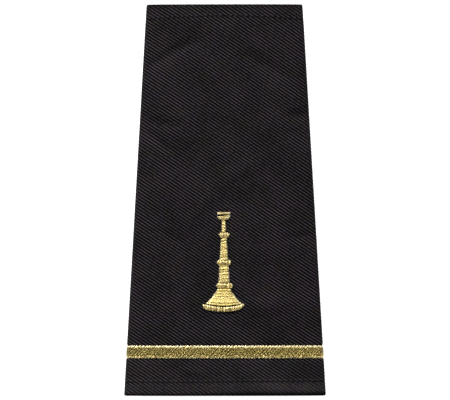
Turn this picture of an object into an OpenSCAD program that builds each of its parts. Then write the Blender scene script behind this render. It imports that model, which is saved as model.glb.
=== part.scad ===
// A slip-on shoulder board: a tapered sleeve of black twill that slides over a shoulder strap,
// with a gold stripe and a gold bugle embroidered on its face. It lies on its back, face up.
// X runs across the board, +Y towards the narrow mouth, +Z out of the face.

/* [Sleeve] */
// Length from mouth to mouth
board_l = 105; // [90:1:125]
// Width across the folds at the wide mouth
base_w = 54; // [48:0.5:60]
// Width across the folds at the narrow mouth
top_w = 41.7; // [40:0.1:46]
// Height of the face above the surface it lies on
board_h = 7; // [6.6:0.1:9]
// Width of the flat strip along the middle of the face and of the back
flat_w = 16; // [10:0.5:18]

/* [Cloth] */
// Thickness of the twill with its fused backing
cloth_t = 1; // [1:0.1:1.3]
// Inner radius of the pressed fold along each side
fold_in = 0.4; // [0.4:0.05:1]
// Width of the front cloth that is turned under, from the fold to its raw edge
return_w = 9; // [7:0.5:10]
// Depth of the hem's stitch line below the mouth
hem_d = 3.6; // [3:0.1:5]
// Extra thickness of the turned-in hem inside the mouth
hem_step = 0.25; // [0.1:0.05:0.3]
// Margin of front cloth that shows on the back beside the back panel
back_margin = 4; // [3:0.5:6]
// Gap between the back panel and the cloth turned under it
lap_gap = 0.05; // [0.05:0.05:0.3]

/* [Gold stitching] */
// Thickness of the stitching at its edges
stitch_edge = 0.2; // [0.1:0.05:0.3]
// Gap under the stitching
stitch_gap = 0.06; // [0.05:0.01:0.15]

/* [Stripe] */
// Width of the stripe
stripe_w = 3.6; // [2:0.1:6]
// Distance of the stripe's middle line from the wide mouth
stripe_y = 11.8; // [11:0.1:18]
// Thickness of the stripe along its middle
stripe_h = 0.7; // [0.5:0.1:1.2]
// Depth of the shallow trough that the stripe's stitches pull into the cloth
stripe_sink = 0.2; // [0.1:0.05:0.3]

/* [Bugle] */
// Thickness of the bugle's fullest stitching
bugle_h = 0.8; // [0.5:0.1:1.2]
// Length of the bugle from rim to mouthpiece
bugle_l = 26.7; // [18:0.1:32]
// Width of the bugle's rim
rim_w = 11.2; // [7:0.1:14]
// Distance of the rim's lowest point from the wide mouth
bugle_y = 22.6; // [22:0.1:40]
// Shift of the bugle to the side
bugle_x = -0.3; // [-1:0.1:1]

/* [Hidden] */

twill = "#262325";
gold = "#c9a64e";

// Outer radius of the side folds, and the heights of the cloth loop over the back panel
fold_r = fold_in + cloth_t;
loop_low = cloth_t + lap_gap;
loop_half = (board_h - loop_low)/2;
fold_z = loop_low + loop_half;

// Numbers of points along the shoulder, the fold and the cloth turned under, and of middle sections
shoulder_n = 6;
fold_n = 8;
return_n = 4;
middle_n = 6;
// Clearance of the back panel's hem from the raw edges, and of the stripe's ends from that panel
hem_clear = 0.3;
lap_end = 0.5;
// Width over which the back panel's hem ends beside the raw edges
hem_run = 0.1;
// Numbers of points across a raised field of stitches
field_n = 10;
stripe_n = 8;

// The hem, from the mouth inwards. Columns: place as a share of hem_d, depth of the outer face and
// depth of the inner face as shares of cloth_t, and share of hem_step added to the inner one
hem_rows = [
    [0,    0.35, 0.65, 0],
    [0.04, 0.1,  0.9,  0.6],
    [0.12, 0,    1,    1],
    [0.85, 0,    1,    1],
    [1,    0.16, 1,    1],
    [1.15, 0,    1,    1],
    [1.22, 0,    1,    0]
];

// The trough under the stripe. Columns: place from the stripe's middle as a share of stripe_w, and
// depth as a share of stripe_sink
trough_rows = [[-0.68, 0], [-0.54, 1], [0.54, 1], [0.68, 0]];
// Angles of the side fold between which the stripe thins, and its fullness past them
thin_from = 15;
thin_to = 60;
thin_share = 0.1;

// The bugle's pieces, from the rim up. Columns: place along the bugle from the rim's low point as a
// share of bugle_l, half width as a share of half of rim_w, height as a share of bugle_h, and how
// far the middle bows down as a share of bugle_l
rim_rows = [
    [0.027, 0.93, 0.4,  0.027], [0.035, 0.98, 0.85, 0.027], [0.051, 1, 1, 0.027],
    [0.067, 0.99, 0.85, 0.027], [0.075, 0.95, 0.4,  0.027]
];
bell_rows = [
    [0.0785, 0.9, 0.7,  0.02],  [0.095, 0.82, 0.95, 0.018], [0.12,  0.68,  1,   0.014],
    [0.15,   0.58, 1,   0.01],  [0.175, 0.5,  1,    0.006], [0.203, 0.375, 1,   0.002],
    [0.2285, 0.335, 0.9, 0]
];
lower_collar_rows = [
    [0.2315, 0.35, 0.4, 0], [0.243, 0.39, 0.95, 0], [0.273, 0.39, 0.95, 0], [0.2845, 0.36, 0.4, 0]
];
lower_tube_rows = [[0.2875, 0.287, 0.85, 0], [0.375, 0.272, 0.9, 0], [0.4625, 0.255, 0.85, 0]];
middle_collar_rows = [
    [0.4655, 0.3, 0.4, 0], [0.478, 0.335, 0.9, 0], [0.502, 0.335, 0.9, 0], [0.5165, 0.29, 0.4, 0]
];
upper_tube_rows = [[0.5195, 0.225, 0.8, 0], [0.625, 0.195, 0.8, 0], [0.7355, 0.16, 0.75, 0]];
upper_collar_rows = [
    [0.7385, 0.175, 0.4, 0], [0.755, 0.225, 0.85, 0], [0.78, 0.265, 0.85, 0], [0.7925, 0.25, 0.4, 0]
];
neck_rows = [[0.7955, 0.13, 0.65, 0], [0.86, 0.12, 0.65, 0], [0.9175, 0.11, 0.65, 0]];
cup_rows = [[0.9205, 0.14, 0.4, 0], [0.932, 0.25, 0.75, 0], [0.948, 0.33, 0.8, 0], [0.962, 0.345, 0.4, 0]];
mouth_rim_rows = [[0.967, 0.33, 0.4, 0], [0.977, 0.335, 0.8, 0], [0.99, 0.335, 0.8, 0], [1, 0.32, 0.4, 0]];
// How far some pieces sit to the side of the bugle's middle line, as shares of rim_w
rim_shift = -0.013;
lower_collar_shift = 0.02;
upper_collar_shift = 0.012;

// Half the board's width at a place along it
function half_w(y) = (base_w + (top_w - base_w)*(0.5 + y/board_l))/2;

// Slope at which the curved shoulder runs into the side fold, found by repetition
function fold_slope(w, turns = 5) =
    turns == 0 ? 15 :
    let (a = fold_slope(w, turns - 1))
    atan(2*(loop_half - fold_r*cos(a))/(w - fold_r + fold_r*sin(a) - flat_w/2));

// Right half of the cloth loop where it is 2w wide, from the face's flat strip round the fold and
// back to x = end_x. Each point is [x, z, angle of the outward normal from straight up]
function half_loop(w, end_x) =
    let (
        a = fold_slope(w),
        flat_x = flat_w/2,
        meet_x = w - fold_r + fold_r*sin(a),
        drop = loop_half - fold_r*cos(a),
        run = meet_x - flat_x
    )
    concat(
        [for (i = [0:shoulder_n]) let (u = i/shoulder_n)
            [flat_x + run*u, board_h - drop*u*u, atan(2*drop*u/run)]],
        [for (i = [1:fold_n - 1]) let (t = a + (180 - 2*a)*i/fold_n)
            [w - fold_r + fold_r*sin(t), fold_z + fold_r*cos(t), t]],
        [for (i = [0:return_n]) let (x = meet_x + (end_x - meet_x)*i/return_n, u = max(0, (x - flat_x)/run))
            [x, loop_low + drop*u*u, 180 - atan(2*drop*u/run)]]
    );

function backwards(list) = [for (i = [len(list) - 1:-1:0]) list[i]];
function mirrored(list) = [for (p = list) [-p[0], p[1], -p[2]]];

// The whole loop at y, from its right raw edge over the face to its left one
function loop(y, edge) =
    let (half = half_loop(half_w(y), half_w(y) - edge))
    concat(backwards(half), mirrored(half));

// Lower curve that the back panel follows at y, from left to right. Points have a fourth column,
// 1 where the hem is turned in between the two raw edges of the front cloth
function back_curve(y) =
    let (
        w = half_w(y),
        hem_x = w - return_w - hem_clear,
        edge_x = w - back_margin,
        a = fold_slope(w),
        run = w - fold_r + fold_r*sin(a) - flat_w/2,
        drop = loop_half - fold_r*cos(a),
        xs = concat([for (i = [0:2]) [flat_w/2 + (hem_x - flat_w/2)*i/2, 1]],
                    [for (i = [0:3]) [hem_x + hem_run + (edge_x - hem_x - hem_run)*i/3, 0]]),
        half = [for (p = xs) let (u = max(0, (p[0] - flat_w/2)/run))
            [p[0], loop_low + drop*u*u, 180 - atan(2*drop*u/run), p[1]]]
    )
    concat([for (p = backwards(half)) [-p[0], p[1], -p[2], p[3]]], half);

// The point at a depth below the outer face, or above it where the depth is negative
function at_depth(p, y, depth) = [p[0] - depth*sin(p[2]), y, p[1] - depth*cos(p[2])];

// Sections of the two hems and of the stripe's trough, as [y, depth of the outer face, depth of the
// inner face, share of hem_step, depth of the trough]
function hem_sections() = [for (r = hem_rows) [r[0]*hem_d - board_l/2, r[1]*cloth_t, r[2]*cloth_t, r[3], 0]];
function far_sections() = [for (s = backwards(hem_sections())) [-s[0], s[1], s[2], s[3], 0]];
function trough_sections() = [for (r = trough_rows)
    [stripe_y + r[0]*stripe_w - board_l/2, 0, cloth_t, 0, r[1]*stripe_sink]];

// Sections of plain cloth between two places, without the places themselves
function plain_sections(from, to) =
    [for (i = [1:middle_n - 1]) [from + (to - from)*i/middle_n, 0, cloth_t, 0, 0]];

// The front panel's sections have the trough, and the back panel's have none
function last(list) = list[len(list) - 1];
function front_sections() = concat(
    hem_sections(), trough_sections(), plain_sections(last(trough_sections())[0], far_sections()[0][0]),
    far_sections()
);
function back_sections() = concat(
    hem_sections(), plain_sections(last(hem_sections())[0], far_sections()[0][0]), far_sections()
);

// A closed solid between two grids of points. Seen from outside, rows run upwards and the points
// of the outer grid's rows run from right to left
module between(outer, inner) {
    rows = len(outer);
    cols = len(outer[0]);
    function at(i, j, side) = (side*rows + i)*cols + j;
    polyhedron(
        points = [for (grid = [outer, inner]) for (row = grid) for (p = row) p],
        faces = concat(
            [for (i = [0:rows - 2]) for (j = [0:cols - 2])
                [at(i, j, 0), at(i, j + 1, 0), at(i + 1, j + 1, 0), at(i + 1, j, 0)]],
            [for (i = [0:rows - 2]) for (j = [0:cols - 2])
                [at(i + 1, j, 1), at(i + 1, j + 1, 1), at(i, j + 1, 1), at(i, j, 1)]],
            [for (i = [0:rows - 2]) [at(i, 0, 0), at(i + 1, 0, 0), at(i + 1, 0, 1), at(i, 0, 1)]],
            [for (i = [0:rows - 2]) let (j = cols - 1)
                [at(i + 1, j, 0), at(i, j, 0), at(i, j, 1), at(i + 1, j, 1)]],
            [for (j = [0:cols - 2]) [at(0, j + 1, 0), at(0, j, 0), at(0, j, 1), at(0, j + 1, 1)]],
            [for (j = [0:cols - 2]) let (i = rows - 1)
                [at(i, j, 0), at(i, j + 1, 0), at(i, j + 1, 1), at(i, j, 1)]]
        ),
        convexity = 6
    );
}

// Rounded height across a raised field of stitches, for u from -1 to 1
function dome(u) = sqrt(1 - pow(abs(u), 3));

// The face: twill over the front, round both folds and turned under at the back
module front_panel() {
    color(twill)
    between(
        [for (s = front_sections()) [for (p = loop(s[0], return_w)) at_depth(p, s[0], s[1] + s[4])]],
        [for (s = front_sections()) [for (p = loop(s[0], return_w))
            at_depth(p, s[0], s[2] + s[3]*hem_step + s[4])]]
    );
}

// The back: a second piece of twill that covers the raw edges and closes the sleeve
module back_panel() {
    top = -lap_gap - cloth_t;
    color(twill)
    between(
        [for (s = back_sections()) [for (p = back_curve(s[0])) at_depth(p, s[0], top + s[1])]],
        [for (s = back_sections()) [for (p = back_curve(s[0]))
            at_depth(p, s[0], top + s[2] + s[3]*p[3]*hem_step)]]
    );
}

// The gold stripe lies in its trough and runs round the folds to the back panel's edges. Its
// stitches are pressed thin where they pass the folds
module stripe() {
    low = stripe_sink - stitch_gap;
    rows = [for (i = [0:stripe_n]) 2*i/stripe_n - 1];
    function place(v) = stripe_y - board_l/2 + v*stripe_w/2;
    function fullness(t) = max(thin_share, min(1, (thin_to - abs(t))/(thin_to - thin_from)));
    function rise(v, t) = stitch_edge + (stripe_h - stitch_edge)*dome(v)*fullness(t);
    color(gold)
    between(
        [for (v = rows) [for (p = loop(place(v), back_margin - lap_end))
            at_depth(p, place(v), low - rise(v, p[2]))]],
        [for (v = rows) [for (p = loop(place(v), back_margin - lap_end)) at_depth(p, place(v), low)]]
    );
}

// One raised field of the bugle's stitches, domed across, bowed down in its middle and shifted
module field(rows, shift = 0) {
    low = board_h + stitch_gap;
    function place(r, u) =
        [bugle_x + shift*rim_w + u*r[1]*rim_w/2, bugle_y - board_l/2 + (r[0] - r[3]*(1 - u*u))*bugle_l];
    across = [for (i = [0:field_n]) 1 - 2*i/field_n];
    color(gold)
    between(
        [for (r = rows) [for (u = across) let (p = place(r, u))
            [p[0], p[1], low + stitch_edge + (bugle_h*r[2] - stitch_edge)*dome(u)]]],
        [for (r = rows) [for (u = across) let (p = place(r, u)) [p[0], p[1], low]]]
    );
}

module bugle_rim() field(rim_rows, rim_shift);
module bugle_bell() field(bell_rows);
module bugle_lower_collar() field(lower_collar_rows, lower_collar_shift);
module bugle_lower_tube() field(lower_tube_rows);
module bugle_middle_collar() field(middle_collar_rows);
module bugle_upper_tube() field(upper_tube_rows);
module bugle_upper_collar() field(upper_collar_rows, upper_collar_shift);
module bugle_neck() field(neck_rows);
module bugle_cup() field(cup_rows);
module bugle_mouth_rim() field(mouth_rim_rows);

front_panel();
back_panel();
stripe();
bugle_rim();
bugle_bell();
bugle_lower_collar();
bugle_lower_tube();
bugle_middle_collar();
bugle_upper_tube();
bugle_upper_collar();
bugle_neck();
bugle_cup();
bugle_mouth_rim();
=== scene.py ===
# %% [markdown]
# # A slip-on shoulder board
# The real object is a flat, tapered sleeve of black twill. A gold stripe and a gold bugle are
# embroidered on its face, and both mouths are hemmed. The solid model already has every piece at its
# true size, so this lesson keeps those sizes and adds what the eye sees: the woven ribs, the hem
# stitches and the shining threads. The first cell loads the solid model as a fixed frame, because the
# finished object should stay that large.

import math
from functools import partial

import bmesh
import bpy
import numpy as np
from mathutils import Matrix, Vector


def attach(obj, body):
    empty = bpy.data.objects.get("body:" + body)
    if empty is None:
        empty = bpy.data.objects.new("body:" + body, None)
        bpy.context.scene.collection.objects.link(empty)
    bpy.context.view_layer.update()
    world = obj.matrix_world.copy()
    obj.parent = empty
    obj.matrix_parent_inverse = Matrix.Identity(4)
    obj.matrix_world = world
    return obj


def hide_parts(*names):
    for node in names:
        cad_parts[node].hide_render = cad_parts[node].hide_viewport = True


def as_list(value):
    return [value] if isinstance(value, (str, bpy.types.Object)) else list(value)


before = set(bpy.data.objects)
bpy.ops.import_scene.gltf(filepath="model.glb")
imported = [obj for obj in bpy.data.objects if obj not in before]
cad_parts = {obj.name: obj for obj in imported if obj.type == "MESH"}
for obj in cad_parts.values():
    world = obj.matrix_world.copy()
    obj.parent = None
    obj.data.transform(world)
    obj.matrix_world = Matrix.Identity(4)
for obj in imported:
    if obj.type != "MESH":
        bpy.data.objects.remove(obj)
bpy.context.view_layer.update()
print("pieces in the frame:", len(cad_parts))

# %% [markdown]
# ## Sizes
# These are the sizes of the solid model, in metres, because a script for looks can't read its source.
# Writing them once, with names, keeps the cloth and the threads on the same surfaces as the solids.

# %% Sizes of the sleeve and its embroidery
MM = 0.001
BOARD_L, BASE_W, TOP_W, BOARD_H = 105*MM, 54*MM, 41.7*MM, 7*MM
FLAT_X, CLOTH_T, FOLD_IN = 8*MM, 1*MM, 0.4*MM
RETURN_W, BACK_MARGIN, LAP_GAP = 9*MM, 4*MM, 0.05*MM
HEM_D, HEM_STEP = 3.6*MM, 0.25*MM
STRIPE_W, STRIPE_Y, STRIPE_H, STRIPE_SINK = 3.6*MM, 11.8*MM - BOARD_L/2, 0.7*MM, 0.2*MM
STITCH_EDGE, STITCH_GAP = 0.2*MM, 0.06*MM
BUGLE_L, RIM_W, BUGLE_H = 26.7*MM, 11.2*MM, 0.8*MM
BUGLE_X, BUGLE_Y = -0.3*MM, 22.6*MM - BOARD_L/2

FOLD_R = FOLD_IN + CLOTH_T
LOOP_LOW = CLOTH_T + LAP_GAP
LOOP_HALF = (BOARD_H - LOOP_LOW)/2
FOLD_Z = LOOP_LOW + LOOP_HALF
print("outer radius of the side folds in mm:", FOLD_R/MM)

# %% [markdown]
# ## The sleeve's cross-section
# Cut across anywhere, the front cloth is flat in the middle, curves down over each shoulder, turns round
# a pressed fold and comes back underneath. One number, here called turn, says how far round a point is:
# up to 1 on the flat, 2 at the end of the shoulder, 3 past the fold and 4 at the raw edge. The section
# could be drawn as a curve, but a function also gives the length of cloth from the middle line, which
# the weave needs, because it keeps its spacing along the cloth.

# %% Cross-section of the front and the back
def sleeve(y):
    """Half width, slope where shoulder meets fold, place of that meeting, drop and run of the shoulder."""
    w = (BASE_W + (TOP_W - BASE_W)*(0.5 + y/BOARD_L))/2
    a = np.full_like(w, math.radians(15))
    # The slope sets where the fold begins and that place sets the slope, so a few rounds settle both.
    for _ in range(5):
        a = np.arctan(2*(LOOP_HALF - FOLD_R*np.cos(a))/(w - FOLD_R + FOLD_R*np.sin(a) - FLAT_X))
    meet = w - FOLD_R + FOLD_R*np.sin(a)
    return w, a, meet, LOOP_HALF - FOLD_R*np.cos(a), meet - FLAT_X


def front_section(turn, y):
    """x, z, angle of the outward normal and length of cloth from the middle, on the front's outer face."""
    side, k = np.sign(turn), np.abs(turn)
    w, a, meet, drop, run = sleeve(y)
    length = lambda u: run*(u + (2*drop/run)**2*u**3/6)
    u = np.clip(k - 1, 0, 1)
    t = a + (np.pi - 2*a)*np.clip(k - 2, 0, 1)
    x_under = meet + (w - RETURN_W - meet)*np.clip(k - 3, 0, 1)
    v = (x_under - FLAT_X)/run
    where = [k <= 1, k <= 2, k <= 3]
    to_fold = FLAT_X + length(1)
    x = np.select(where, [FLAT_X*k, FLAT_X + run*u, w - FOLD_R + FOLD_R*np.sin(t)], x_under)
    z = np.select(where, [BOARD_H + 0*k, BOARD_H - drop*u*u, FOLD_Z + FOLD_R*np.cos(t)], LOOP_LOW + drop*v*v)
    angle = np.select(where, [0*t, np.arctan(2*drop*u/run), t], np.pi - np.arctan(2*drop*v/run))
    cloth = np.select(where, [FLAT_X*k, FLAT_X + length(u), to_fold + FOLD_R*(t - a)],
                      to_fold + FOLD_R*(np.pi - 2*a) + length(1) - length(v))
    return side*x, z, side*angle, side*cloth


def back_section(turn, y):
    """The same for the back panel's outer face, with turn from -1 to 1 across it."""
    w, a, meet, drop, run = sleeve(y)
    x = turn*(w - BACK_MARGIN)
    v = np.clip((np.abs(x) - FLAT_X)/run, 0, None)
    angle = np.sign(x)*(np.pi - np.arctan(2*drop*v/run)) + (x == 0)*np.pi
    below = LAP_GAP + CLOTH_T
    return x + below*np.sin(angle), LOOP_LOW + drop*v*v + below*np.cos(angle), angle, x


def at_depth(section, turn, y, depth):
    """Places under the outer face of a section, and the directions that point out of the cloth there."""
    turn, y = np.broadcast_arrays(np.asarray(turn, float), np.asarray(y, float))
    x, z, angle, _ = section(turn, y)
    up = np.stack([np.sin(angle), 0*x, np.cos(angle)], -1)
    return np.stack([x, y, z], -1) - np.asarray(depth)[..., None]*up, up


def cut_width(section, last_turn, end):
    """Width of a panel's cloth at one mouth, from raw edge to raw edge."""
    return 2*abs(section(np.array([last_turn]), np.array([end*BOARD_L/2]))[3][0])


widths = [round(cut_width(front_section, 4.0, end)/MM, 1) for end in (-1, 1)]
print("the front cloth is this wide at the wide and the narrow mouth, in mm:", widths)

# %% [markdown]
# ## The weave and the hems
# Twill has slanted ribs, and each mouth is turned in and sewn. Both could be painted on flat cloth, but
# real ribs and hollows catch the light. Small functions say how far a point lies across the ribs and from
# a hem's stitches, and how deep the cloth gives way there. The mesh, its weave and its colour all ask the
# same functions, so they agree everywhere.

# %% Ribs, hem lines and hollows of the cloth
RIB_PITCH, RIB_SLANT, RIB_STEPS = 0.7556*MM, math.radians(33.6), 5
RIB_BOW = [(0, 0, 1.12), (0, 1, -3.32), (0, 2, -0.65), (0, 3, 3.0), (1, 0, 1.85),
           (1, 1, -0.19), (1, 2, 0.2), (2, 0, 0.46), (2, 1, 2.3), (3, 0, -2.14)]
EDGE_ROUND, EDGE_PINCH = 0.5*MM, 0.4*MM
GROOVE_DEEP, GROOVE_WIDE = 0.15*MM, 0.26*MM
FOLD_EASE = 0.1*MM
CHANNEL = (0.49*STRIPE_W, 0.57*STRIPE_W)


def across_ribs(s, y):
    """How far a point of the cloth lies across the ribs. Cloth is never woven quite straight, so RIB_BOW
    lets the ribs drift slowly: each line has the powers of the two directions and the drift in radians."""
    a, b = s/(BASE_W/2), y/(BOARD_L/2)
    drift = sum(k*a**i*b**j for i, j, k in RIB_BOW)
    return s*math.sin(RIB_SLANT) + y*math.cos(RIB_SLANT) + RIB_PITCH/(2*math.pi)*drift


def smooth(low, high, x):
    """A soft step from 0 at low to 1 at high."""
    t = np.clip((x - low)/(high - low), 0, 1)
    return t*t*(3 - 2*t)


def from_mouth(y):
    return BOARD_L/2 - np.abs(y)


def to_right(share):
    """From -1 on the left part of the board to 1 on its right part. The wide hem isn't pressed evenly."""
    return 2*smooth(-0.5, 0.55, share) - 1


def hem_line(end, share):
    """Height of a hem's row of stitches. The narrow hem's row bends towards the mouth in the middle."""
    inset = (3.1 + 0.9*share**2)*MM if end > 0 else (3.79 + 0.1*to_right(share))*MM
    return end*(BOARD_L/2 - inset)


def from_seam(turn, y, reach):
    """Distance from the nearer hem's row of stitches."""
    share = np.clip(turn/reach, -1, 1)
    return y - np.where(y > 0, hem_line(1, share), hem_line(-1, share))


def at_fold(turn, start, full, ebb, end):
    """1 round the pressed side folds and 0 on the faces, with the turns where it begins and ends."""
    return smooth(start, full, np.abs(turn))*(1 - smooth(ebb, end, np.abs(turn)))


def beside_stripe(y):
    """0 under the stripe and 1 away from it."""
    return smooth(*CHANNEL, np.abs(y - STRIPE_Y))


def trough(turn, y):
    """How deep the stripe presses into the cloth. Round the folds the tight cloth gives way less."""
    return STRIPE_SINK*(1 - 0.6*at_fold(turn, 1.75, 2.1, 2.9, 3.2))*(1 - beside_stripe(y))


def edge_share(y):
    """1 at the very mouth, where the cloth is pressed thin, and 0 past its rounding."""
    e = np.clip(1 - from_mouth(y)/EDGE_ROUND, 0, 1)
    return 1 - np.sqrt(1 - e*e)


def hem_share(y):
    """1 where the cloth is turned in, behind the rounding of the mouth."""
    return smooth(0, 0.12*HEM_D, from_mouth(y))*(1 - smooth(1.15*HEM_D, 1.22*HEM_D, from_mouth(y)))


def groove(turn, y, reach):
    """How far the outer face lies below the plain section: rounded at the mouths, pulled in at the hems."""
    on_face = 1 - 0.85*smooth(0.8*reach, reach, np.abs(turn))
    ease = FOLD_EASE*at_fold(turn, 1.7, 2.2, 2.7, 3.2)*beside_stripe(y)
    pulled = GROOVE_DEEP*on_face*np.exp(-(from_seam(turn, y, reach)/GROOVE_WIDE)**2)
    return EDGE_PINCH*edge_share(y) - ease + pulled


print(f"the ribs lie {RIB_PITCH/MM:.2f} mm apart")

# %% [markdown]
# ## Creases
# A sleeve that has been worn and folded away keeps faint creases. Each one here is a line with a soft
# profile, and its depth is a few hair's breadths, so the light on its two sides shows it only faintly. The
# twill's colour adds painted light and shade there, by the crease's slope. They could be sculpted by
# hand, but a short list is easy to read and to change.

# %% Creases of the front
# from x, y to x, y, half width and depth, all in mm. A crease with a negative depth stands proud.
CREASES = [(-20.6, 35.5, -8.1, 43.1, 1.4, 0.2), (5.0, 39.5, 17.0, 32.8, 1.6, 0.15),
           (-21.5, 21.5, -11.0, 19.3, 1.3, 0.12), (-21.5, 18.5, -14.0, 12.8, 1.3, 0.15),
           (16.5, 22.4, 22.5, 23.0, 1.4, 0.2), (-11.0, -8.3, 0.5, 5.8, 2.0, -0.15),
           (0.5, 5.8, 14.0, 13.0, 2.2, -0.15), (14.5, -11.0, 24.4, -9.0, 1.0, 0.12),
           (7.5, -29.0, 17.0, -27.5, 2.4, -0.2), (-18.0, -8.0, -11.0, -11.8, 1.2, 0.1),
           (-11.5, -45.6, -5.0, -46.6, 1.2, -0.12)]


def crease_depth(x, y):
    depth = 0*x
    for x0, y0, x1, y1, wide, deep in np.array(CREASES)*MM:
        run = math.hypot(x1 - x0, y1 - y0)
        along = ((x - x0)*(x1 - x0) + (y - y0)*(y1 - y0))/run
        aside = ((x - x0)*(y1 - y0) - (y - y0)*(x1 - x0))/run
        ends = smooth(-2*MM, 3*MM, along)*(1 - smooth(run - 3*MM, run + 2*MM, along))
        depth += deep*np.exp(-(aside/wide)**2)*ends
    return depth


print("creases:", len(CREASES))

# %% [markdown]
# ## Mesh on the weave
# A square grid would cut across the ribs and show jagged steps, so the rows of this grid lie along the
# ribs, five rows to a rib. The grid is made flat, as turn against height, and cut off at both mouths
# with bmesh's bisect, as a tailor cuts cloth. Then it is wrapped round the section, and a coarser inner
# layer is joined to it along all four edges, which gives the cloth its thickness.

# %% Grid along the ribs, cut at the mouths
def grid_faces(ids):
    """Four-cornered faces between the rows and columns of a grid of corners."""
    return np.stack([ids[:-1, :-1], ids[:-1, 1:], ids[1:, 1:], ids[1:, :-1]], -1).reshape(-1, 4)


def rib_grid(section, turns):
    """Flat grid of (turn, height) whose rows follow the ribs, as arrays of corners and faces."""
    step = RIB_PITCH/RIB_STEPS
    widest = abs(section(turns[-1:], np.array([-BOARD_L/2]))[3][0])
    count = int((across_ribs(widest, BOARD_L/2) + 2*MM)/step)
    rows = np.arange(-count, count + 1)[:, None]*step
    t = np.broadcast_to(turns, (len(rows), len(turns)))
    y = rows + 0*t
    # Each round moves the corners closer to their own rib. Rows past the mouths are cut off later.
    for _ in range(12):
        s = section(t, np.clip(y, -60*MM, 60*MM))[3]
        y = y + (rows - across_ribs(s, y))/math.cos(RIB_SLANT)
    quads = grid_faces(np.arange(t.size).reshape(t.shape))
    near = (np.abs(y.ravel()[quads]) < BOARD_L/2).any(1)
    me = bpy.data.meshes.new("flat")
    me.from_pydata(np.stack([t, y/MM, 0*t], -1).reshape(-1, 3).tolist(), [], quads[near].tolist())
    bm = bmesh.new()
    bm.from_mesh(me)
    bpy.data.meshes.remove(me)
    # The first cut takes off what is past the mouth. The others add rows where the edge is rounded.
    for inset in (0, 0.06, 0.2, 0.4):
        for end in (1, -1):
            bmesh.ops.bisect_plane(bm, geom=bm.verts[:] + bm.edges[:] + bm.faces[:], dist=1e-5,
                                   plane_co=(0, end*(BOARD_L/2/MM - inset), 0), plane_no=(0, end, 0),
                                   clear_outer=inset == 0)
    bmesh.ops.delete(bm, geom=[v for v in bm.verts if not v.link_faces], context="VERTS")
    bm.verts.index_update()
    corners = np.array([v.co[:2] for v in bm.verts])*(1, MM)
    faces = [[v.index for v in f.verts] for f in bm.faces]
    bm.free()
    return corners[:, 0], corners[:, 1], faces


def zip_faces(a, b, key_a, key_b):
    """Triangles between two rows of corners that run side by side, taken in the order of their keys."""
    made, i, j = [], 0, 0
    for _, on_b in sorted([(key, 0) for key in key_a[1:]] + [(key, 1) for key in key_b[1:]]):
        made.append((a[i], b[j + 1] if on_b else a[i + 1], b[j]))
        i, j = i + 1 - on_b, j + on_b
    return made


# %% Closed mesh of a panel
INNER_ROWS = np.array([0, 0.04, 0.12, 0.5, 0.85, 1.15, 1.22])*HEM_D


def panel_mesh(name, section, turns, inner_depth, outer_depth):
    """The ribbed outer face, a plain inner one and the edges between them. It returns the mesh, where its
    corners lie, which way is out of the cloth there, and how many of them are on the outer face."""
    t, y, faces = rib_grid(section, turns)
    start, half = len(t), BOARD_L/2
    rows = [-half + INNER_ROWS, np.linspace(-half, half, 17)[2:-2], half - INNER_ROWS[::-1],
            [STRIPE_Y + side*edge for side in (-1, 1) for edge in CHANNEL]]
    rows = np.unique(np.concatenate(rows))
    ti, yi = (grid.ravel() for grid in np.meshgrid(turns, rows))
    ids = start + np.arange(ti.size).reshape(len(rows), len(turns))
    faces += grid_faces(ids)[:, [0, 3, 2, 1]].tolist()
    for end, last in ((1, -1), (-1, 0)):
        mouth, side = np.abs(y - end*half) < 1e-7, np.abs(t - turns[last]) < 1e-6
        for at_edge, key, inner, inner_key in ((mouth, t, ids[last], ti), (side, y, ids[:, last], yi)):
            rim = np.flatnonzero(at_edge)
            rim = rim[np.argsort(key[rim])]
            faces += zip_faces(rim, inner, key[rim], inner_key[inner - start])
    outer, up = at_depth(section, t, y, outer_depth(t, y))
    inside, up_in = at_depth(section, ti, yi, inner_depth(ti, yi))
    me = bpy.data.meshes.new(name)
    me.from_pydata(np.concatenate([outer, inside]).tolist(), [], faces)
    bm = bmesh.new()
    bm.from_mesh(me)
    bmesh.ops.recalc_face_normals(bm, faces=bm.faces)
    bm.to_mesh(me)
    bm.free()
    return me, np.concatenate([t, ti]), np.concatenate([y, yi]), np.concatenate([up, up_in]), start


# %% What each corner of a panel knows
def store(me, name, values):
    """Keeps a number or a vector for each corner of the mesh, under a name that node trees can read."""
    values = np.asarray(values, np.float32)
    kind, field = ("FLOAT_VECTOR", "vector") if values.ndim == 2 else ("FLOAT", "value")
    me.attributes.new(name, kind, "POINT").data.foreach_set(field, values.ravel())


def add(name, data):
    """Adds an object to the scene, at the origin."""
    ob = bpy.data.objects.new(name, data)
    bpy.context.scene.collection.objects.link(ob)
    return ob


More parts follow.
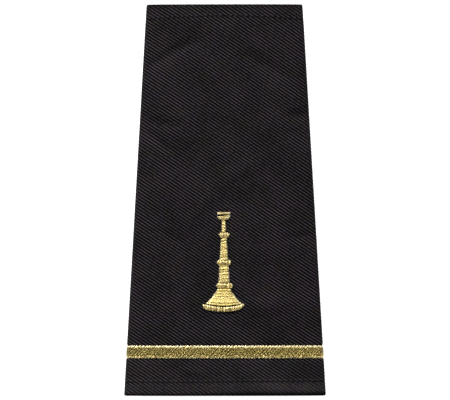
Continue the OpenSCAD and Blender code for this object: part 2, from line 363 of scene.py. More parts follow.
def panel(name, section, turns, reach, inner_depth, outer_depth):
    """A panel's object. Its corners store how the iron pressed the weave, where the hem's seam runs, how
    much painted shade darkens the cloth at the mouths, and how a crease leans to the light, for painted
    light and shade on its sides."""
    me, turn, y, up, start = panel_mesh(name, section, turns, inner_depth, outer_depth)
    is_front = section is front_section
    cloth = section(turn, y)[3]
    inset = from_mouth(y)
    raw_edge = np.abs(section(np.full_like(y, turns[-1]), y)[3]) - np.abs(cloth)
    rightward = to_right(np.clip(turn/reach, -1, 1))
    hem = 1 - smooth(3.0*MM, np.where(y > 0, 4.0, 5.0)*MM, inset)
    wide_pressed = (0.21 + 0.07*rightward)*hem + 0.05*(y < STRIPE_Y)*(1 - hem)
    pressed = np.where(y > 0, 0.03*hem, wide_pressed)
    relief = (1 - 2*pressed)*smooth(0, 0.4*MM, inset)*smooth(0, 0.6*MM, raw_edge)
    relief *= 1 - 0.75*is_front*smooth(1.8, 2.2, np.abs(turn))
    relief *= 0.2 + 0.8*beside_stripe(y)
    relief[start:] = 0
    # Painted shade darkens the last millimetre or so at each mouth, widest at the wide mouth's right part.
    wide_clear = smooth((0.3 + 0.15*rightward)*MM, (1.3 + 0.3*rightward)*MM, inset)
    edge = np.where(y > 0, 0.66*(1 - smooth(0, 1.15*MM, inset)), 1 - wide_clear)
    slope = (crease_depth(cloth, y + 0.2*MM) - crease_depth(cloth, y - 0.2*MM))/(0.4*MM)
    known = {"up": up, "cloth": np.stack([cloth, y, 0*cloth], -1), "across": across_ribs(cloth, y),
             "relief": relief, "pressed": pressed, "seam": from_seam(turn, y, reach), "edge": edge,
             "lit": slope*is_front}
    for label, values in known.items():
        store(me, label, values)
    return add(name, me)


# %% Front and back panels
def both_sides(points, last=4):
    """Turns from one raw edge to the other, with so many points on each part of the section."""
    stops = (0, 1, 2, 3, last)
    half = np.concatenate([np.linspace(a, b, n)[1:] for a, b, n in zip(stops, stops[1:], points)])
    return np.concatenate([-half[::-1], [0], half])


def front_hollow(turn, y):
    creased = crease_depth(front_section(turn, y)[3], y)*beside_stripe(y)
    return groove(turn, y, 2.0) + trough(turn, y) + creased


def cloth_depth(y):
    return CLOTH_T - EDGE_PINCH*edge_share(y)


def free_of_lap(turn, y):
    """1 where the back panel lies clear of the front's turned-under edges."""
    return np.abs(turn)*(sleeve(y)[0] - BACK_MARGIN) < sleeve(y)[0] - RETURN_W - 0.3*MM


front = panel("front_twill", front_section, both_sides((8, 17, 9, 6)), 2.0,
              lambda turn, y: cloth_depth(y) + HEM_STEP*hem_share(y) + trough(turn, y), front_hollow)
back = panel("back_twill", back_section, np.linspace(-1, 1, 35), 1.0,
             lambda turn, y: cloth_depth(y) + HEM_STEP*hem_share(y)*free_of_lap(turn, y),
             lambda turn, y: groove(turn, y, 1.0))
print("corners of the front and the back:", [len(ob.data.vertices) for ob in (front, back)])

# %% [markdown]
# ## Node trees in Python
# A node tree can be wired by hand or in code. In code, the same small helpers serve every tree. Each one
# adds a node and fills its inputs with values or with wires from other nodes, so a line of code reads like
# a sum. They all work in the tree that was started last, which keeps the lines short.

# %% Helpers for node trees
tree = given = None
FAMILIES = ("ShaderNode", "GeometryNode", "FunctionNode", "")


def wire(socket, value):
    """Joins a wire to the socket where the value comes from a node, or sets the socket's own value."""
    if isinstance(value, bpy.types.NodeSocket):
        tree.links.new(value, socket)
    else:
        socket.default_value = value


def pick(sockets, key):
    """A socket by its name or its number, among those that are in use."""
    shown = [s for s in sockets if s.enabled]
    return shown[key] if isinstance(key, int) else next(s for s in shown if s.name == key)


def add_node(kind, inputs=None, **settings):
    """Adds a node. Kind is its full name without the family that it starts with."""
    node = tree.nodes.new(next(start + kind for start in FAMILIES if hasattr(bpy.types, start + kind)))
    for key, value in settings.items():
        setattr(node, key, value)
    for key, value in (inputs or {}).items():
        wire(pick(node.inputs, key), value)
    return node


def put(kind, inputs=None, **settings):
    """Adds a node and gives its first output."""
    return pick(add_node(kind, inputs, **settings).outputs, 0)


def calc(operation, *values):
    return put("Math", dict(enumerate(values)), operation=operation)


plus, minus, times, times_plus = (partial(calc, name)
                                  for name in ("ADD", "SUBTRACT", "MULTIPLY", "MULTIPLY_ADD"))
power, divide, absolute, cosine, sine = (partial(calc, name)
                                         for name in ("POWER", "DIVIDE", "ABSOLUTE", "COSINE", "SINE"))


def wave(turning):
    """Makes a sine or cosine go from 0 to 1 and back."""
    return times_plus(turning, 0.5, 0.5)


def vcalc(operation, *values):
    return put("VectorMath", dict(enumerate(values)), operation=operation)


def ramp(value, low, high, to_low=0.0, to_high=1.0):
    return put("MapRange", {0: value, 1: low, 2: high, 3: to_low, 4: to_high})

# %% [markdown]
# ## Black twill
# The cloth is a matt black gabardine. Its ribs are rounded, and the colour paints shade between them and a
# little light on their tops. It could come from an image, but a few nodes do it at any size: the tree that
# raises the ribs also keeps each point's place in the wave, and the material mixes its blacks by it, from
# painted valley shade to the lighter tops. Fine noise along and across the ribs stands for the single
# yarns. Age tints the black a little, in slow patches.

# %% Helpers for materials
def new_material(name):
    global tree
    material = bpy.data.materials.new(name)
    material.use_nodes = True
    tree = material.node_tree
    return material


def set_shader(values):
    for label, value in values.items():
        wire(tree.nodes["Principled BSDF"].inputs[label], value)
    print("nodes in the material:", len(tree.nodes))


def attribute(name, output="Fac"):
    return add_node("Attribute", attribute_name=name).outputs[output]


def mix(share, a, b, blend_type="MIX"):
    return put("Mix", {0: share, 1: a, 2: b}, data_type="RGBA", blend_type=blend_type)


def noise(place, scale, detail=2.0, roughness=0.5):
    return put("TexNoise", {"Vector": place, "Scale": scale, "Detail": detail, "Roughness": roughness})


# %% How light each point of the twill is, with painted shade between the ribs
RIB_WIDE = 2.9

twill = new_material("black_twill")
cloth_mm = vcalc("SCALE", attribute("cloth", "Vector"), 1/MM)
turned = put("VectorRotate", {"Vector": cloth_mm, "Angle": RIB_SLANT}, rotation_type="Z_AXIS")
fibre = noise(vcalc("MULTIPLY", turned, (1.3, 3.0, 1.0)), 1.0, roughness=0.6)
floats = put("TexVoronoi", {"Vector": vcalc("MULTIPLY", turned, (2.6, 4.4, 1.0)), "Scale": 1.0})
patches = noise(cloth_mm, 0.1)
tint, blue = (noise(vcalc("ADD", cloth_mm, (away, 7.0, 3.0)), 0.27) for away in (40.0, 140.0))
# Painted shade: darkest in the valleys between the ribs, lightest on their tops.
level = power(wave(cosine(attribute("rib_angle"))), RIB_WIDE)
level = times_plus(minus(1.0, level), attribute("pressed"), level)
# The last factor paints light on the side of each crease that faces the long lamp and shade on the other, by
# its stored slope.
for share in (ramp(fibre, 0.3, 0.7, 0.6, 1.4), ramp(floats, 0.0, 0.8, 1.3, 0.6),
              ramp(patches, 0.35, 0.65, 0.74, 1.2), ramp(attribute("lit"), -0.12, 0.12, 0.66, 1.55)):
    level = times(level, share)

# %% Painted shade at the hems and mouths, a painted highlight by the hems, tints and the twill's finish
# The valley black is painted shade in the hollows between the ribs.
VALLEY_SHADE_BLACK = (0.0009, 0.0005, 0.0007, 1)
NEUTRAL_BLACK, VIOLET_BLACK = (0.0343, 0.0319, 0.0332, 1), (0.0386, 0.0306, 0.0365, 1)
YELLOWER, BLUER = (1, 1, 0.89, 1), (1, 1, 1.11, 1)
STITCH_L, SEAM_HIGHLIGHT_OFFSET = 2.2*MM, 0.42*MM

seam = attribute("seam")
cloth_x = put("SeparateXYZ", {0: cloth_mm})
# Painted shade along each hem's row of stitches, in the groove where they pull the cloth in, darkest at each
# stitch.
beat = cosine(times(cloth_x, 2*math.pi*MM/STITCH_L))
seam_shade_strength = ramp(plus(beat, ramp(tint, 0.3, 0.7, -1.0, 1.0)), -0.5, 1.2, 0.74, 0.94)
seam_shade = times(ramp(absolute(seam), 0.08*MM, 0.24*MM, 1.0, 0.0), seam_shade_strength)
# A painted highlight: a thin lighter band beside each hem's row of stitches, on its side towards the narrow
# end.
seam_highlight = ramp(absolute(minus(seam, SEAM_HIGHLIGHT_OFFSET)), 0.06*MM, 0.26*MM, 0.5, 0.0)
# Painted shade along the hem stitches and at the mouths darkens the twill here.
level = times(level, minus(1.0, calc("MAXIMUM", seam_shade, times(attribute("edge"), 0.97))))
level = times_plus(level, seam_highlight, level)
violet = ramp(times_plus(patches, 0.4, times(tint, 0.6)), 0.43, 0.57)
tinted = mix(violet, NEUTRAL_BLACK, VIOLET_BLACK)
tinted = mix(1.0, tinted, mix(ramp(blue, 0.4, 0.6), YELLOWER, BLUER), "MULTIPLY")
bump = put("Bump", {"Strength": 0.35, "Distance": 0.08*MM, "Height": minus(fibre, floats)})
set_shader({"Base Color": mix(level, VALLEY_SHADE_BLACK, tinted), "Roughness": 0.85,
            "Specular IOR Level": 0.03, "Normal": bump})

# %% [markdown]
# ## Ribs by Geometry Nodes
# The ribs follow one rule over the whole cloth, so a tree raises them and nobody has to sculpt them. It
# measures how far each point lies across the ribs, turns that into a wave, and moves the point along the
# stored outward direction. Proud share says how much of a rib's height stands above the plain section:
# half of it on the front, and none on the back, which lies on the floor. A little noise bends the ribs.

# %% Helpers for Geometry Nodes trees
def new_tree(name, lengths, numbers=""):
    """Starts a tree with a geometry input, named inputs, a material input and one geometry output."""
    global tree, given
    tree = bpy.data.node_groups.new(name, "GeometryNodeTree")
    sockets = [("Geometry", "Geometry")]
    sockets += [(label, "Float") for label in lengths.split(", ")]
    sockets += [(label, "Int") for label in numbers.split(", ") if label]
    for label, kind in sockets + [("Material", "Material")]:
        tree.interface.new_socket(label, in_out="INPUT", socket_type="NodeSocket" + kind)
    tree.interface.new_socket("Geometry", in_out="OUTPUT", socket_type="NodeSocketGeometry")
    given = add_node("NodeGroupInput").outputs
    return tree


def end_tree(geometry):
    """Ends the tree with smooth shading, real copies instead of instances, and the material."""
    real = put("RealizeInstances", {0: put("SetShadeSmooth", {0: geometry})})
    done = put("SetMaterial", {0: real, "Material": given["Material"]})
    add_node("NodeGroupOutput", {0: done})
    print(f"{tree.name} has {len(tree.nodes)} nodes")


def read(name, kind="FLOAT"):
    """What the mesh stores under a name."""
    return put("InputNamedAttribute", {"Name": name}, data_type=kind)


def keep(geometry, name, value):
    """Stores a value under a name, for the material to read."""
    return put("StoreNamedAttribute", {"Geometry": geometry, "Name": name, "Value": value},
               data_type="FLOAT", domain="POINT")


def seeded_noise(place, scale, detail):
    return add_node("TexNoise", {"Vector": place, "W": given["Seed"], "Scale": scale, "Detail": detail},
                    noise_dimensions="4D")


def grow(ob, grower, **values):
    """Gives an object a tree, sets the named inputs, and keeps the result as its plain mesh."""
    values = {key.replace("_", " ").capitalize(): value for key, value in values.items()}
    modifier = ob.modifiers.new(grower.name, "NODES")
    modifier.node_group = grower
    for item in grower.interface.items_tree:
        if item.item_type == "SOCKET" and item.in_out == "INPUT" and item.name in values:
            modifier[item.identifier] = values[item.name]
    grown = bpy.data.meshes.new_from_object(ob.evaluated_get(bpy.context.evaluated_depsgraph_get()))
    ob.modifiers.clear()
    old, ob.data = ob.data, grown
    grown.name = ob.name
    bpy.data.meshes.remove(old)
    bm = bmesh.new()
    bm.from_mesh(grown)
    open_edges = sum(not e.is_manifold for e in bm.edges)
    if not open_edges:
        bmesh.ops.recalc_face_normals(bm, faces=bm.faces)
        bm.to_mesh(grown)
    print(ob.name, sum(len(f.verts) - 2 for f in bm.faces), "triangles,", open_edges, "open edges")
    bm.free()


# %% Tree that raises the ribs
rib_tree = new_tree("twill_ribs", "Rib pitch, Rib depth, Proud share, Sharpness, Wander, Seed")
drift = pick(seeded_noise(read("cloth", "FLOAT_VECTOR"), 260.0, 2.0).outputs, 0)
across = plus(read("across"), times(minus(drift, 0.5), given["Wander"]))
angle = times(divide(across, given["Rib pitch"]), 2*math.pi)
rise = minus(power(wave(cosine(angle)), given["Sharpness"]), 1.0)
rise = times(times(plus(rise, given["Proud share"]), given["Rib depth"]), read("relief"))
offset = vcalc("SCALE", read("up", "FLOAT_VECTOR"), rise)
end_tree(keep(put("SetPosition", {"Geometry": given["Geometry"], "Offset": offset}), "rib_angle", angle))

for ob, seed, proud in ((front, 3.0, 0.5), (back, 8.0, 0.0)):
    grow(ob, rib_tree, rib_pitch=RIB_PITCH, rib_depth=0.15*MM, proud_share=proud, sharpness=1.5,
         wander=0.12*MM, seed=seed, material=twill)

# %% [markdown]
# ## Gold thread
# The embroidery is sewn with metallic thread: a thin gold foil wound round a core. Foil is a metal, so the
# shader is metallic and takes its look from the lights. Small flat facets of foil glitter. A picture could
# give them, but cells that tilt the normal do it at any distance. Each thread gets a slightly different
# gold by a value that its tree stores. Other stored values make some fields paler, paint a pale highlight
# at the threads' ends, and paint shade on their middles and in their dips. The pad under the threads is
# darker, as painted shade in the gaps.

# %% Colour of the gold thread
DEEP_GOLD, LIGHT_GOLD = (0.45, 0.352, 0.103, 1), (0.81, 0.642, 0.255, 1)
WINDING_GOLD, SHADED_GOLD = (0.17, 0.125, 0.03, 1), (0.115, 0.086, 0.02, 1)
PALE_TINT, HIGHLIGHT_GOLD, PAD_SHADE_GOLD = (0.95, 0.99, 1.55, 1), (0.97, 0.87, 0.56, 1), (0.20, 0.158, 0.055, 1)
FOIL_TURN, STREAK_L = 0.4*MM, 1.1*MM

gold = new_material("gold_thread")
place = add_node("TexCoord").outputs["Object"]
facets = add_node("TexVoronoi", {"Vector": place, "Scale": 3600.0, "Randomness": 1.0})
clumps = noise(place, 2400.0, roughness=0.6)
along, shade, end, dull, pale, under = map(attribute, ("along", "shade", "end", "dull", "pale", "under"))
winding = wave(sine(times(along, 2*math.pi/FOIL_TURN)))
run = put("CombineXYZ", {0: times(along, 1/STREAK_L), 1: times(shade, 60.0)})
tone = times_plus(noise(run, 1.0, roughness=0.6), 0.38, times(clumps, 0.2))
colour = mix(ramp(times_plus(shade, 0.42, tone), 0.32, 0.66), DEEP_GOLD, LIGHT_GOLD)
colour = mix(ramp(winding, 0.0, 0.35, 0.2, 0.0), colour, WINDING_GOLD)
# Painted shade darkens the middle of each thread, away from its ends, and its dips.
colour = mix(times(dull, ramp(clumps, 0.35, 0.65, 1.3, 0.7)), colour, SHADED_GOLD)
colour = mix(pale, colour, mix(1.0, colour, PALE_TINT, "MULTIPLY"))
# A painted highlight: pale cream where the threads end.
colour = mix(end, colour, HIGHLIGHT_GOLD)
# The pad gets a darker gold, as painted shade in the gaps between the threads.
colour = mix(under, colour, PAD_SHADE_GOLD)

# %% Glitter of the gold thread
glitter = ramp(times_plus(pale, 0.5, times(dull, 0.65)), 0.1, 0.5, 0.12, 0.30)
tilt = vcalc("SCALE", vcalc("SUBTRACT", facets.outputs["Color"], (0.5, 0.5, 0.5)), glitter)
facing = vcalc("NORMALIZE", vcalc("ADD", add_node("NewGeometry").outputs["Normal"], tilt))
bump = put("Bump", {"Strength": 0.6, "Distance": 0.08*MM, "Height": winding, "Normal": facing})
# Less metal where the painted highlight is keeps it bright from any side.
set_shader({"Base Color": colour, "Metallic": ramp(end, 0.0, 1.0, 0.93, 0.6),
            "Roughness": ramp(clumps, 0.3, 0.7, 0.38, 0.5), "Normal": bump})

# %% [markdown]
# ## Satin stitch by Geometry Nodes
# Satin stitch fills a shape with threads that run side by side from one edge to the other. Each thread
# could be drawn as a curve of its own, but then a new width means drawing them all again. A tree makes
# them by rule instead. It is given the two edges as rails. It makes one straight thread, copies it once
# for each stitch, and moves every point to its place between the rails, raised in an arch, with its ends
# under the cloth. A grid that goes through the same steps, a little lower, makes the pad of thread below,
# so no gap shows the cloth.

# %% Place of a stitch point
def sample_rail(rail, share, name=""):
    """The place at a share of the rail's length, or what the rail stores there under a name."""
    inputs = {"Curves": rail, "Factor": share}
    if name:
        inputs["Value"] = read(name, "FLOAT_VECTOR")
    node = add_node("SampleCurve", inputs, mode="FACTOR", data_type="FLOAT_VECTOR")
    return pick(node.outputs, "Value" if name else "Position")


def blend(share, a, b):
    return put("Mix", {0: share, 1: a, 2: b}, data_type="VECTOR", clamp_factor=False)


def dome(share, flatness):
    """A rounded profile: 1 in the middle and 0 at a share of -1 or 1."""
    return calc("SQRT", minus(1.0, power(calc("MINIMUM", absolute(share), 1.0), flatness)))


def stitch_place(along, side, lower, fullness=1.0):
    """Where a point lies that is a share along the rails and from -1 to 1 between them."""
    slid = put("Clamp", {0: times_plus(side, times(given["Slant"], 0.5), along), 1: 0.0, 2: 1.0})
    share = times_plus(side, 0.5, 0.5)
    spot, up, lift = (blend(share, *(sample_rail(rail, slid, name) for rail in rails))
                      for name in ("", "up", "lift"))
    high, bow, _ = add_node("SeparateXYZ", {0: lift}).outputs
    full = calc("MAXIMUM", minus(high, lower), times(high, 0.5))
    arch = times(dome(side, given["Side power"]), dome(times_plus(along, 2.0, -1.0), given["End power"]))
    height = minus(times(times(plus(full, given["Sink"]), fullness), arch), given["Sink"])
    raised = vcalc("ADD", spot, vcalc("SCALE", vcalc("NORMALIZE", up), height))
    return vcalc("SUBTRACT", raised, put("CombineXYZ", {1: times(bow, minus(1.0, times(side, side)))}))


# %% Copies of a thread
def copies(points, number):
    """Straight lines, one for each stitch. It gives the lines, the number of each line, and how far each
    point is from its line's middle, from -1 to 1."""
    line = put("CurvePrimitiveLine", {"End": (0.0, 0.0, 0.001)})
    line = put("ResampleCurve", {"Curve": line, "Count": points})
    many = add_node("DuplicateElements", {"Geometry": line, "Amount": number}, domain="SPLINE")
    side = sine(times(minus(put("SplineParameter"), 0.5), math.pi))
    return many.outputs["Geometry"], many.outputs["Duplicate Index"], side


def chance(copy, shift, low=-1.0, high=1.0):
    """A number from low to high that is the same along one thread and differs between threads."""
    return put("RandomValue", {"Min": low, "Max": high, "ID": copy, "Seed": plus(given["Seed"], shift)},
               data_type="FLOAT")


def tube(curve, radius):
    ring = put("CurvePrimitiveCircle", {"Resolution": 6, "Radius": radius})
    return put("CurveToMesh", {"Curve": curve, "Profile Curve": ring, "Fill Caps": True})


def join(*pieces):
    node = add_node("JoinGeometry")
    for piece in pieces:
        wire(node.inputs[0], piece)
    return pick(node.outputs, 0)


# %% Rails and threads of the satin stitch
satin = new_tree(
    "satin_stitch", "Pitch, Thread radius, Sink, Slant, Side power, End power, Pale end power, "
    "Pale left end, Pale middle, Paleness, Dullness, Dull left power, Dull right power, Dips, Dip depth, "
    "Unevenness, Pairing, Wander", "Points, Pad rows, Seed")
both = put("MeshToCurve", {"Mesh": given["Geometry"]})
rails = add_node("SeparateGeometry", {"Geometry": both, "Selection": calc("LESS_THAN", read("side"), 0.5)},
                 domain="CURVE").outputs[:2]
number = calc("ROUND", divide(put("CurveLength", {0: rails[0]}), given["Pitch"]))
number = calc("MAXIMUM", number, 2.0)
lines, copy, side = copies(given["Points"], number)
uneven, radius, deep = given["Unevenness"], given["Thread radius"], given["Dip depth"]
paired = times(minus(0.5, calc("MODULO", copy, 2.0)), given["Pairing"])
along = plus(plus(plus(copy, 0.5), paired), times(chance(copy, 1.0), uneven))
along = divide(along, number)
side_out = times(side, times_plus(times(chance(copy, 2.0), uneven), 0.24, 0.975))
lower = times(radius, times_plus(chance(copy, 3.0, 0.0, 1.6), uneven, 1.0))
beat = times_plus(side, times(given["Dips"], math.pi), chance(copy, 6.0, 0.0, 1.6*math.pi))
pit = power(wave(cosine(beat)), 3.0)
spot = stitch_place(along, side_out, times_plus(pit, deep, lower))
sway = vcalc("SUBTRACT", seeded_noise(spot, 900.0, 1.0).outputs["Color"], (0.5, 0.5, 0.5))
sway = vcalc("SCALE", sway, given["Wander"])
threads = put("SetPosition", {"Geometry": lines, "Position": spot, "Offset": sway})

# %% What each thread tells the material
DIP_SHADE = 7.5/MM

# The end value paints a highlight: pale cream at the threads' ends, fullest at their upper or right ends.
from_middle, on_right = absolute(side), calc("GREATER_THAN", side, 0.0)
tip = power(absolute(times_plus(along, 2.0, -1.0)), 2.0)
tip = calc("MAXIMUM", tip, given["Pale middle"])
end = times(power(from_middle, given["Pale end power"]), tip)
end = times(end, calc("MAXIMUM", on_right, given["Pale left end"]))
# Painted shade: darker on each thread's middle, away from its ends, and in the dips.
left, right = given["Dull left power"], given["Dull right power"]
dull = power(from_middle, times_plus(on_right, minus(right, left), left))
dull = times_plus(given["Dullness"], minus(1.0, dull), times(pit, times(deep, DIP_SHADE)))
run = plus(add_node("SplineParameter").outputs["Length"], times(chance(copy, 5.0), MM))
for name, value in (("shade", chance(copy, 4.0, 0.0, 1.0)), ("along", run), ("end", end), ("dull", dull),
                    ("pale", given["Paleness"])):
    threads = keep(threads, name, value)
threads = tube(threads, radius)

# %% Pad under the threads
# The pad's darker gold in the material is painted shade between the threads.
halves = []
for fullness in (0.0, 1.0):
    grid = put("MeshGrid", {"Size X": 1.0, "Size Y": 1.0, "Vertices X": 13, "Vertices Y": given["Pad rows"]})
    where = add_node("SeparateXYZ", {0: put("InputPosition")}).outputs
    across, along = (sine(times(w, math.pi)) for w in where[:2])
    spot = stitch_place(times_plus(along, 0.5, 0.5), across, times(radius, 1.6), fullness)
    half = put("SetPosition", {"Geometry": grid, "Position": spot})
    halves.append(half if fullness else put("FlipFaces", {"Mesh": half}))
pad = put("MergeByDistance", {"Geometry": join(*halves), "Distance": 1e-6})
end_tree(join(threads, keep(pad, "under", 1.0)))

# %% [markdown]
# ## The bugle's fields
# The bugle is embroidered as eleven fields of satin stitch: ten that stand for its ten solids, and a short
# fan of lengthwise threads at the top of the bell. Where a field's threads run across the bugle, its rails
# are the field's two sides. Where they run along it, as in the rings, the rails are its lower and upper
# edges. Each field could be traced, but a table is easier to change. Its rows follow those of the solids:
# place, half width, height and bow, as shares of the bugle's sizes.

# %% Rails of a field
TRIM, SIDE_TRIM, CORNER = 0.08*MM, 0.22*MM, 0.4


def rails_object(name, rails):
    """An object with a chain of points for each rail. A rail holds places, the directions out of the cloth
    there and, for satin stitch, how far the thread is lifted and bowed."""
    points, *stored = (np.concatenate(parts) for parts in zip(*rails))
    n = len(rails[0][0])
    chain = [(k*n + i, k*n + i + 1) for k in range(len(rails)) for i in range(n - 1)]
    me = bpy.data.meshes.new(name)
    me.from_pydata(points.tolist(), chain, [])
    for label, values in zip(("up", "lift"), stored):
        store(me, label, values)
    store(me, "side", np.repeat(range(len(rails)), n))
    return add(name, me)


def end_rail(rows, end, tip):
    """The lower or upper edge of a field, with round corners. Tip raises the right corner."""
    u = np.linspace(-1, 1, 41)
    place, half, _, bow = rows[0 if end < 0 else -1]
    half = half*RIM_W/2 - TRIM
    corner_r = CORNER*(rows[-1, 0] - rows[0, 0])*BUGLE_L
    past = np.clip((np.abs(u)*half - (half - corner_r))/corner_r, 0, 1)
    y = (place - bow*(1 - u*u))*BUGLE_L - end*(TRIM/2 + corner_r*(1 - np.sqrt(1 - past**2)))
    y = y + tip*(smooth(0.85, 1, u) + 0.7*smooth(0.5, 1, u)*(end < 0))
    return u*half, y, np.full_like(u, rows[:, 2].max()*BUGLE_H), 0*u


def side_rail(rows, end):
    """The left or right side of a field."""
    v = np.linspace(rows[0, 0], rows[-1, 0], 41)
    half, high, bow = (np.interp(v, rows[:, 0], column) for column in rows.T[1:])
    return end*(half*RIM_W/2 - SIDE_TRIM), v*BUGLE_L, high*BUGLE_H, bow*BUGLE_L


def field_rails(rows, shift, lengthwise, tip):
    rails = []
    for end in (-1, 1):
        x, y, lift, bow = end_rail(rows, end, tip) if lengthwise else side_rail(rows, end)
        spots = (BUGLE_X + shift*RIM_W + x, BUGLE_Y + y, np.full_like(x, BOARD_H + STITCH_GAP))
        rails.append((np.stack(spots, -1), np.tile([0, 0, 1.0], (len(x), 1)),
                      np.stack([lift, bow, 0*x], -1)))
    return rails


# %% Table of the fields
def field(rows, shift=0.0, lengthwise=False, lean=0.0, tip=0.0, **look):
    return np.array(rows), shift, lengthwise, lean, tip, look


FIELDS = {
    "bugle_rim": field(
        [[0.027, 0.955, 0.85, 0.027], [0.0775, 1.012, 0.85, 0.027]], shift=-0.009, lengthwise=True,
        lean=0.15*MM, tip=0.25*MM, pitch=0.35*MM, side_power=3.0, pale_end_power=2.5, paleness=0.3,
        dullness=0.1, unevenness=0.34, wander=0.14*MM),
    "bugle_bell": field(
        [[0.0785, 0.9, 0.94, 0.02], [0.095, 0.82, 0.95, 0.018], [0.12, 0.68, 1, 0.014],
         [0.15, 0.58, 1, 0.01], [0.175, 0.5, 1, 0.006], [0.203, 0.375, 1, 0.002], [0.2285, 0.335, 0.9, 0]],
        pairing=0.19, unevenness=0.16, dullness=0.16, side_power=5.0, end_power=90.0, pale_end_power=44.0),
    "bell_fan": field(
        [[0.2, 0.33, 1.1, 0], [0.2305, 0.303, 1.12, 0]], shift=0.011, lengthwise=True, lean=0.45*MM,
        pitch=0.4*MM, pale_end_power=8.0),
    "bugle_lower_collar": field(
        [[0.2315, 0.37, 0.95, 0], [0.2845, 0.39, 0.95, 0]], shift=0.02, lengthwise=True, paleness=0.3,
        dullness=0.06, unevenness=0.3, pale_end_power=1.6, pale_left_end=0.7, pale_middle=0.4),
    "bugle_lower_tube": field(
        [[0.2875, 0.287, 0.85, 0], [0.375, 0.272, 0.9, 0], [0.4625, 0.255, 0.85, 0]], shift=0.007,
        lean=0.2*MM, pitch=0.35*MM, pairing=0.16, unevenness=0.26, wander=0.16*MM, paleness=0.15,
        dullness=0.1),
    "bugle_middle_collar": field(
        [[0.4655, 0.327, 0.9, 0], [0.5165, 0.332, 0.9, 0]], shift=0.007, lengthwise=True, paleness=0.25,
        dullness=0.25, unevenness=0.26, pale_end_power=1.6, pale_left_end=0.6, pale_middle=0.3),
    "bugle_upper_tube": field(
        [[0.5195, 0.225, 0.8, 0], [0.625, 0.195, 0.8, 0], [0.7355, 0.16, 0.75, 0]], shift=0.003,
        lean=0.35*MM, pairing=0.14, paleness=0.15, dullness=0.07, dips=1.2, dip_depth=0.02*MM,
        end_power=40.0),
    "bugle_upper_collar": field(
        [[0.7385, 0.19, 0.85, 0], [0.7925, 0.265, 0.85, 0]], shift=0.012, lengthwise=True, paleness=0.4,
        dullness=0.16, pale_end_power=1.6, pale_left_end=0.5, pale_middle=0.35),
    "bugle_neck": field(
        [[0.7955, 0.13, 0.65, 0], [0.86, 0.122, 0.65, 0], [0.9175, 0.114, 0.65, 0]], lean=0.35*MM,
        pitch=0.42*MM, thread_radius=0.2*MM, paleness=0.3, dullness=0.06, pale_end_power=24.0,
        unevenness=0.16, wander=0.08*MM),
    "bugle_cup": field(
        [[0.9205, 0.14, 0.7, 0], [0.932, 0.25, 0.75, 0], [0.948, 0.33, 0.8, 0], [0.962, 0.345, 0.8, 0]],
        lean=0.15*MM, pitch=0.38*MM, paleness=0.15, dullness=0.52, unevenness=0.1, wander=0.06*MM,
        pale_end_power=5.0, pale_left_end=0.6),
    "bugle_mouth_rim": field(
        [[0.977, 0.33, 0.8, 0], [0.997, 0.33, 0.8, 0]], lean=0.05*MM, paleness=0.5, dullness=0.6,
        unevenness=0.08, wander=0.05*MM)}
print("fields of the bugle:", len(FIELDS))

# %% Sew the bugle
# What all satin stitches share, and what differs where the threads run along the bugle. What isn't named
# in a table is 0.
SEWN = dict(thread_radius=0.18*MM, pitch=0.36*MM, sink=0.25*MM, side_power=6.0, end_power=12.0,
            pale_end_power=14.0, pale_left_end=1.0, pale_middle=1.0, dull_left_power=9.0,
            dull_right_power=9.0, unevenness=0.22, wander=0.12*MM, points=15, pad_rows=30, material=gold)
ROUND = dict(side_power=2.2, pale_end_power=3.0, pale_left_end=0.15, wander=0.1*MM)

gold_pieces = {}
for number, (node, (rows, shift, lengthwise, lean, tip, look)) in enumerate(FIELDS.items()):
    ob = rails_object(node + "_threads", field_rails(rows, shift, lengthwise, tip))
    rail_length = RIM_W*rows[:, 1].max() if lengthwise else (rows[-1, 0] - rows[0, 0])*BUGLE_L
    look = SEWN | (ROUND if lengthwise else {}) | look
    grow(ob, satin, **look, slant=lean/rail_length, seed=11 + number)
    gold_pieces[node] = ob

# %% [markdown]
# ## The stripe
# The stripe is one long field of satin stitch. It could be drawn flat and bent over the folds, but its
# rails are simply taken along the section, so they follow the cloth over both shoulders and round the
# folds. Its threads lean to the right, and they are pressed thin where they pass the folds.

# %% Sew the stripe
THIN, FOLD_LIFT = 0.25*STITCH_EDGE, 0.09*MM


def stripe_rail(y):
    """One edge of the stripe, from under the back panel on the left to under it on the right. Angles are
    in degrees from straight up, so the fold's outermost point has 90."""
    w, _, meet, _, _ = (part[0] for part in sleeve(np.array([y])))
    turn = both_sides((20, 40, 24, 8), 3 + (meet - (w - BACK_MARGIN + 0.5*MM))/(meet - (w - RETURN_W)))
    angle = np.degrees(np.abs(front_section(turn, np.full_like(turn, y))[2]))
    on_fold = np.clip((angle - 40)/35, 0, 1)*np.clip((150 - angle)/35, 0, 1)
    spots, up = at_depth(front_section, turn, y, STRIPE_SINK - STITCH_GAP - FOLD_LIFT*on_fold)
    lift = THIN + (STRIPE_H - THIN)*np.clip((60 - angle)/45, 0.03, 1)
    return spots, up, np.stack([lift, 0*lift, 0*lift], -1)


rails = [stripe_rail(STRIPE_Y + end*(STRIPE_W/2 - trim*TRIM)) for end, trim in ((-1, 1.7), (1, 2.1))]
stripe = rails_object("stripe_threads", rails)
stripe_length = np.linalg.norm(np.diff(rails[0][0], axis=0), axis=1).sum()
print(f"the stripe is {stripe_length/MM:.1f} mm long round the folds")
look = SEWN | dict(pitch=0.46*MM, slant=3.2*MM/stripe_length, side_power=4.5, end_power=300.0,
                   pale_left_end=0.4, dullness=0.6, dull_left_power=3.0, dull_right_power=18.0, dips=4.3,
                   dip_depth=0.12*MM, pairing=0.2, wander=0.08*MM, points=26, pad_rows=160, seed=5)
grow(stripe, satin, **look)
gold_pieces["stripe"] = stripe

